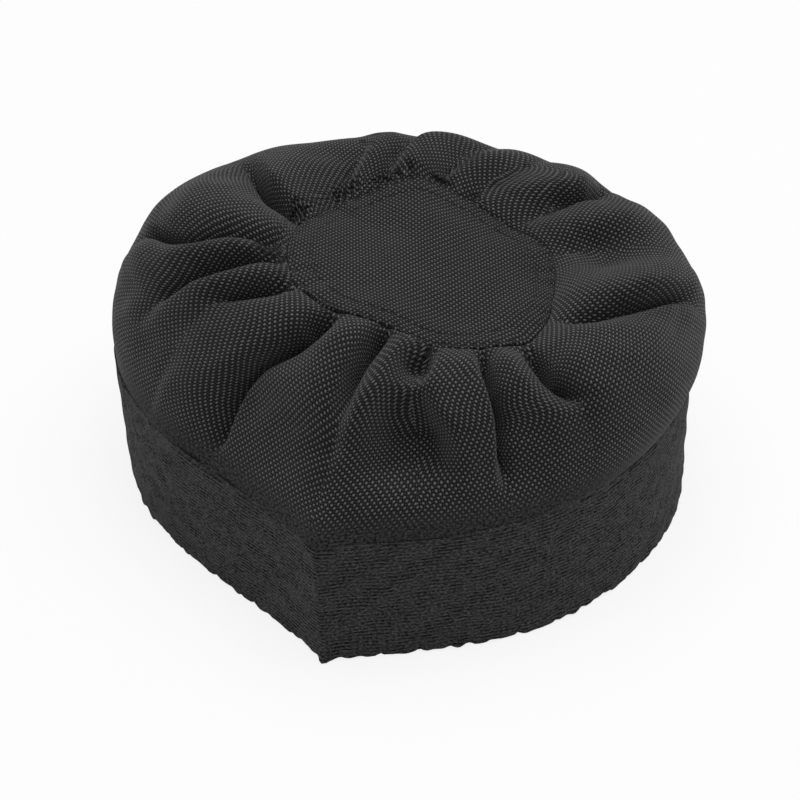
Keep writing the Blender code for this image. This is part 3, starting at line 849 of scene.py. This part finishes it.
def make_facing():
    profile = [(radius, -FACING_DROP) for radius in np.linspace(0.0, FACING_RADIUS, FACING_RINGS)]
    return turned_sheet("facing_cloth", profile, LINING_THICK, FACING_SHARE)


def make_disc_stitches(name, radius, seed):
    draw = np.random.default_rng(seed)
    count = round(2 * pi * radius / (DISC_STITCH + DISC_STITCH_GAP))
    up = np.array(DISC_PLACE.to_3x3() @ Vector((0.0, 0.0, 1.0)))
    turns = (np.arange(count) + draw.uniform(-STITCH_STRAY, STITCH_STRAY, count)) * 2 * pi / count
    across = np.stack([radius * np.sin(turns), -radius * np.cos(turns)], axis=-1)
    drawn = radius + rim(turns)[0] * (radius / DISC_RADIUS) ** (RIM_FADE + 1)
    spots = disc_points(turns, drawn, disc_lift(across) + DISC_STITCH_RISE)
    ahead = disc_points(turns + STEP / radius, radius, 0.0) - disc_points(turns, radius, 0.0)
    lengths = DISC_STITCH * draw.uniform(*STITCH_SPREAD, count)
    out, widths = np.broadcast_to(up, spots.shape), np.full(count, DISC_STITCH_WIDTH)
    return sew(name, spots, unit(ahead), out, lengths, widths, DISC_STITCH_WIDTH)


class Wire:
    """Output of a shader node. Sums and products of it add Math nodes."""

    def __init__(self, tree, socket=None):
        self.tree = tree
        self.socket = socket

    def node(self, kind, settings=None, sockets=None, out=0):
        """Adds a node: its settings first, then the values or links of its sockets."""
        made = self.tree.nodes.new("ShaderNode" + kind)
        for name, value in (settings or {}).items():
            setattr(made, name, value)
        for name, value in (sockets or {}).items():
            if isinstance(value, Wire):
                self.tree.links.new(value.socket, made.inputs[name])
            else:
                made.inputs[name].default_value = value
        return Wire(self.tree, made.outputs[out])

    def math(self, operation, *values):
        return self.node("Math", {"operation": operation}, dict(enumerate(values)))

    def __add__(self, other):
        return self.math("ADD", self, other)

    def __sub__(self, other):
        return self.math("SUBTRACT", self, other)

    def __rsub__(self, other):
        return self.math("SUBTRACT", other, self)

    def __mul__(self, other):
        return self.math("MULTIPLY", self, other)

    __radd__ = __add__
    __rmul__ = __mul__

    def wave(self):
        return self.math("SINE", self)

    def ease(self, start, end):
        """0 before the start, 1 after the end, and smooth between."""
        limits = {"Value": self, "From Min": start, "From Max": end}
        return self.node("MapRange", {"interpolation_type": "SMOOTHSTEP"}, limits)

    def noise(self, spots, scale, detail=2.0):
        return self.node("TexNoise", None, {"Vector": spots, "Scale": scale, "Detail": detail})

    def stretched_noise(self, spots, along, up, detail=2.0):
        """Noise with its own count of spots to a metre along and up."""
        drawn = self.node("Mapping", None, {"Vector": spots, "Scale": (along, up, 1.0)})
        return self.noise(drawn, 1.0, detail)

    def shade(self, dark, pale):
        """Colour between a dark and a pale one."""
        return self.node("Mix", {"data_type": "RGBA"}, {0: self, 6: (*dark, 1.0), 7: (*pale, 1.0)}, out=2)


SHINE = 0.08
SHEEN_TINT = (0.6, 0.6, 0.6, 1.0)


def new_look(name, sheen, sheen_roughness):
    look = bpy.data.materials.new(name)
    look.use_nodes = True
    shader = look.node_tree.nodes["Principled BSDF"]
    shader.inputs["Specular IOR Level"].default_value = SHINE
    shader.inputs["Sheen Weight"].default_value = sheen
    shader.inputs["Sheen Roughness"].default_value = sheen_roughness
    shader.inputs["Sheen Tint"].default_value = SHEEN_TINT
    return look, Wire(look.node_tree)


def dress(look, colour, roughness, height, distance):
    """Feeds a look's shader."""
    wire = Wire(look.node_tree)
    bump = wire.node("Bump", None, {"Height": height, "Distance": distance})
    shader = look.node_tree.nodes["Principled BSDF"]
    for name, value in (("Base Color", colour), ("Roughness", roughness), ("Normal", bump)):
        look.node_tree.links.new(value.socket, shader.inputs[name])
    return look


# Weave: pitch of the yarns, how far they stray, the height over the band at which it grows clear, and how
# pale its dots of painted highlight are and how glossy it is on the crown and on the disc. The disc's dots
# are less pale than the crown's: painted shade, as the disc gets more of the overhead light.
YARN_ALONG = 0.00106
YARN_UP = 0.00116
YARN_STRAY = 0.00045
STRAY_SCALE = 320.0
WEAVE_DEPTH = 0.00025
WORN_FOOT = (0.001, 0.012)
ALL_WOVEN = (-2.0, -1.0)
CROWN_PALE = 5.0
CROWN_SHEEN = 0.18
DISC_PALE_SHADED = 4.3
DISC_SHEEN = 0.11
DISC_TURN = radians(-16.4)


def woven_look(name, colour, turn, start, pale, sheen):
    """Coarse plain weave: lighter dots where yarns cross, the lightest where the warp lies on top. The
    pattern is the weave's own; the dots' paleness is painted highlight on the yarns.

    Below the start, where the cloth is drawn into the band, the dots fade into fuzz.
    """
    look, wire = new_look(name, sheen, sheen_roughness=0.5)
    cut = wire.node("UVMap", {"uv_map": "cloth"})
    wander = wire.node("TexNoise", None, {"Vector": cut, "Scale": STRAY_SCALE, "Detail": 1.0}, out=1)
    centred = wire.node("VectorMath", {"operation": "SUBTRACT"}, {0: wander, 1: (0.5, 0.5, 0.5)})
    nudge = wire.node("VectorMath", {"operation": "SCALE"}, {0: centred, "Scale": YARN_STRAY})
    eased = wire.node("VectorMath", {"operation": "ADD"}, {0: cut, 1: nudge})
    laid = wire.node("Mapping", None, {"Vector": eased, "Rotation": (0.0, 0.0, turn)})
    weft = wire.node("SeparateXYZ", None, {0: laid}, out=0)
    warp = wire.node("SeparateXYZ", None, {0: laid}, out=1)
    floats = (weft * (pi / YARN_ALONG)).wave() * (warp * (pi / YARN_UP)).wave()
    slub = wire.stretched_noise(laid, 120.0, 1400.0)
    patch = wire.noise(cut, 45.0)
    crossings = floats * floats
    # Dots of painted highlight where the yarns cross, paler where the warp lies on top
    dots = (0.06 + crossings * 0.64 + floats * 0.40) * (0.4 + slub * 1.2) * (0.75 + patch * 0.5)
    clear = wire.node("SeparateXYZ", None, {0: cut}, out=1).ease(*start)
    fuzz = wire.stretched_noise(cut, 900.0, 1500.0)
    seen = dots * clear + fuzz.ease(0.30, 0.70) * 0.30 * (1.0 - clear)
    tone = seen.shade(colour * 0.02, colour * pale)
    return dress(look, tone, 0.90 - dots * 0.2, crossings * clear + slub * 0.3, WEAVE_DEPTH)


# Rows of the band's stitches in its flat cut, and depths of the other looks' grain
ROW_PITCH = (HIGHEST_ROW - LOWEST_ROW) / (STITCH_ROWS - 1)
FIRST_ROW = HEM_REACH - FOOT_ROUND + FOOT_ROUND * pi / 2 + LOWEST_ROW - FOOT_ROUND
WOOL_DEPTH = 0.00035
THREAD_DEPTH = 0.00010
TWILL_PITCH = 0.00045
TWILL_DEPTH = 0.00008
FELT_DEPTH = 0.0002


def stitched_look(name, colour):
    """Matte woolly cloth of the band, sunk in small hollows along its rows of stitches, with painted shade
    darkening them in dashes.
    """
    look, wire = new_look(name, sheen=0.18, sheen_roughness=0.6)
    cut = wire.node("UVMap", {"uv_map": "cloth"})
    across = wire.node("SeparateXYZ", None, {0: cut}, out=1)
    rows = ((across - FIRST_ROW) * (2 * pi / ROW_PITCH) + pi / 2).wave()
    dash = wire.stretched_noise(cut, 800.0, 1100.0)
    pits_and_painted_shade = rows.ease(-0.4, 0.9) * dash.ease(0.44, 0.62)
    fleck = wire.stretched_noise(cut, 900.0, 1200.0, 3.0)
    fibre = wire.stretched_noise(cut, 900.0, 1700.0)
    patch = wire.noise(cut, 60.0)
    spots = fleck.ease(0.43, 0.60) * 0.45 + fibre.ease(0.43, 0.60) * 0.5 + patch * 0.1
    # Colour darkened in the stitch hollows: painted shade
    tone = (spots * (1.0 - pits_and_painted_shade * 0.85)).shade(colour * 0.03, colour * 2.1)
    return dress(look, tone, 0.96 - fibre * 0.1, fleck * 0.6 + fibre * 0.6 - pits_and_painted_shade * 1.5, WOOL_DEPTH)


def thread_look(name, colour):
    """Woolly thread, each stitch a little lighter or darker."""
    look, wire = new_look(name, sheen=0.16, sheen_roughness=0.6)
    spots = wire.node("TexCoord", out=3)
    stitch = wire.noise(spots, 420.0)
    fibre = wire.noise(spots, 3200.0, 3.0)
    tone = (stitch.ease(0.25, 0.75) * 0.6 + fibre * 0.5).shade(colour * 0.30, colour * 0.90)
    return dress(look, tone, 0.95 - fibre * 0.15, fibre, THREAD_DEPTH)


def lining_look(name, colour):
    """Smooth lining cloth with a fine twill line."""
    look, wire = new_look(name, sheen=0.05, sheen_roughness=0.4)
    cut = wire.node("UVMap", {"uv_map": "cloth"})
    along = wire.node("SeparateXYZ", None, {0: cut}, out=0)
    across = wire.node("SeparateXYZ", None, {0: cut}, out=1)
    twill = ((along + across) * (pi / TWILL_PITCH)).wave() * 0.5 + 0.5
    patch = wire.noise(cut, 70.0)
    tone = (twill * 0.6 + patch * 0.6).shade(colour * 0.6, colour * 1.5)
    return dress(look, tone, 0.72 - twill * 0.2, twill, TWILL_DEPTH)


def felt_look(name, colour):
    """Stiff felt: matted fibres."""
    look, wire = new_look(name, sheen=0.2, sheen_roughness=0.7)
    cut = wire.node("UVMap", {"uv_map": "cloth"})
    clump = wire.noise(cut, 500.0, 4.0)
    fibre = wire.noise(cut, 3000.0, 3.0)
    tone = (clump * 0.6 + fibre * 0.4).shade(colour * 0.5, colour * 1.5)
    return dress(look, tone, 0.98 - fibre * 0.08, clump + fibre * 0.5, FELT_DEPTH)


black = COLOURS["woven_cloth"]
woven = woven_look("crown_weave", black, 0.0, WORN_FOOT, CROWN_PALE, CROWN_SHEEN)
# The disc's weave is the crown's cloth with its dots less pale: painted shade on the top of the cap
woven_disc = woven_look("disc_weave", black, DISC_TURN, ALL_WOVEN, DISC_PALE_SHADED, DISC_SHEEN)
stitched = stitched_look("band_cloth", COLOURS["band_cloth"])
lined = lining_look("lining_twill", COLOURS["lining_cloth"])
felt = felt_look("core_felt", COLOURS["core_felt"])
band_thread = thread_look("band_thread", COLOURS["band_cloth"])
disc_thread = thread_look("disc_thread", black)


def place_piece(piece, look, slot, *nodes):
    """Finishes a piece: its look, its body and the solids it stands for."""
    piece.data.materials.append(look)
    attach(piece, "root")
    if nodes:
        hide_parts(*nodes)
    return piece


crown, crown_cut = make_crown()
place_piece(crown, woven, "woven_cloth", "crown_panel")
disc = place_piece(make_disc(), woven_disc, "woven_cloth", "top_disc")
facing = place_piece(make_facing(), lined, "lining_cloth", "disc_facing")
band, band_cut = make_band()
place_piece(band, stitched, "band_cloth", "band_cover")
lining = make_layer("lining_cloth", LINING_FACE, LINING_THICK, CORE_FACE, LINING_TOP)
place_piece(lining, lined, "lining_cloth", "band_lining")
core = make_layer("core_felt", CORE_FACE, CORE_THICK, CORE_FACE, CORE_TOP)
place_piece(core, felt, "core_felt", "band_interlining")
tape_face = HEM_REACH + LAYER_GAP
tape = make_layer("seam_tape", tape_face, TAPE_THICK, TAPE_FOOT, TAPE_TOP, TAPE_ENDS, TAPE_COLUMNS)
place_piece(tape, lined, "lining_cloth", "back_seam_binding")
hem_rows = make_band_stitches("band_stitches_lower", 0, STITCH_ROWS - TOP_ROWS)
place_piece(hem_rows, band_thread, "thread", "band_hem_stitch")
top_rows = make_band_stitches("band_stitches_upper", STITCH_ROWS - TOP_ROWS, STITCH_ROWS)
place_piece(top_rows, band_thread, "thread", "band_top_stitch")
inner_row = make_disc_stitches("disc_stitches_inner", INNER_ROW, INNER_ROW_SEED)
place_piece(inner_row, disc_thread, "thread", "disc_stitch_inner")
outer_row = make_disc_stitches("disc_stitches_outer", OUTER_ROW, OUTER_ROW_SEED)
place_piece(outer_row, disc_thread, "thread", "disc_stitch_outer")

# Floor, light and camera
PHOTO_TURN = radians(16.2)
PHOTO_RISE = radians(38.02)
PHOTO_ROLL = radians(-0.18)
PHOTO_DISTANCE = 1.04986
PHOTO_TARGET = Vector((-0.00117, -0.00643, 0.038)) + PLACE
PHOTO_WIDTH = 800
PHOTO_FOCUS = 2993.61 / PHOTO_WIDTH
FILM = 36.0
FLOOR_SIZE = 3.0
FLOOR_COLOUR = (0.9, 0.9, 0.9, 1.0)
FLOOR_ROUGHNESS = 0.9
FLOOR_WHITE = 0.85
WHITE = (1.0, 1.0, 1.0, 1.0)
AMBIENT = 0.45
KEY_PLACE = Vector((0.08, 0.16, 1.15))
KEY_SIZE = 1.0
KEY_POWER = 9.2


def plain_light(tree):
    """1 for rays that show the backdrop itself, and 0 for rays that carry its light."""
    wire = Wire(tree)
    rays = ("Is Camera Ray", "Is Glossy Ray", "Is Transmission Ray")
    camera, glossy, through = (wire.node("LightPath", out=ray) for ray in rays)
    return wire.math("MAXIMUM", camera, wire.math("MAXIMUM", glossy, through))


def make_floor():
    bm = bmesh.new()
    bmesh.ops.create_grid(bm, x_segments=1, y_segments=1, size=FLOOR_SIZE)
    floor = finish_piece("floor", bm)
    look = bpy.data.materials.new("pale_floor")
    look.use_nodes = True
    tree = look.node_tree
    diffuse = tree.nodes["Principled BSDF"]
    diffuse.inputs["Base Color"].default_value = FLOOR_COLOUR
    diffuse.inputs["Roughness"].default_value = FLOOR_ROUGHNESS
    wire = Wire(tree)
    white = wire.node("Emission", None, {"Color": WHITE, "Strength": 1.0})
    lit = Wire(tree, diffuse.outputs[0])
    mixed = wire.node("MixShader", None, {0: plain_light(tree) * FLOOR_WHITE, 1: lit, 2: white})
    tree.links.new(mixed.socket, tree.nodes["Material Output"].inputs["Surface"])
    floor.data.materials.append(look)


def make_world():
    world = bpy.data.worlds.new("studio")
    bpy.context.scene.world = world
    world.use_nodes = True
    tree = world.node_tree
    strength = plain_light(tree) * (1.0 - AMBIENT) + AMBIENT
    back = tree.nodes["Background"]
    back.inputs["Color"].default_value = WHITE
    tree.links.new(strength.socket, back.inputs["Strength"])


def make_key_light():
    light = bpy.data.lights.new("key", "AREA")
    light.energy = KEY_POWER
    light.size = KEY_SIZE
    key = bpy.data.objects.new("key", light)
    key.location = KEY_PLACE
    key.rotation_euler = (-KEY_PLACE).to_track_quat("-Z", "Y").to_euler()
    bpy.context.scene.collection.objects.link(key)


def make_camera():
    data = bpy.data.cameras.new("camera")
    data.sensor_width = FILM
    data.lens = PHOTO_FOCUS * FILM
    camera = bpy.data.objects.new("camera", data)
    level = cos(PHOTO_RISE)
    back = Vector((sin(PHOTO_TURN) * level, -cos(PHOTO_TURN) * level, sin(PHOTO_RISE)))
    look = (-back).to_track_quat("-Z", "Y").to_matrix().to_4x4()
    place = Matrix.Translation(PHOTO_TARGET + back * PHOTO_DISTANCE)
    camera.matrix_world = place @ look @ Matrix.Rotation(PHOTO_ROLL, 4, "Z")
    bpy.context.scene.collection.objects.link(camera)
    bpy.context.scene.camera = camera


make_floor()
make_world()
make_key_light()
make_camera()
bpy.context.scene.view_settings.view_transform = "Standard"
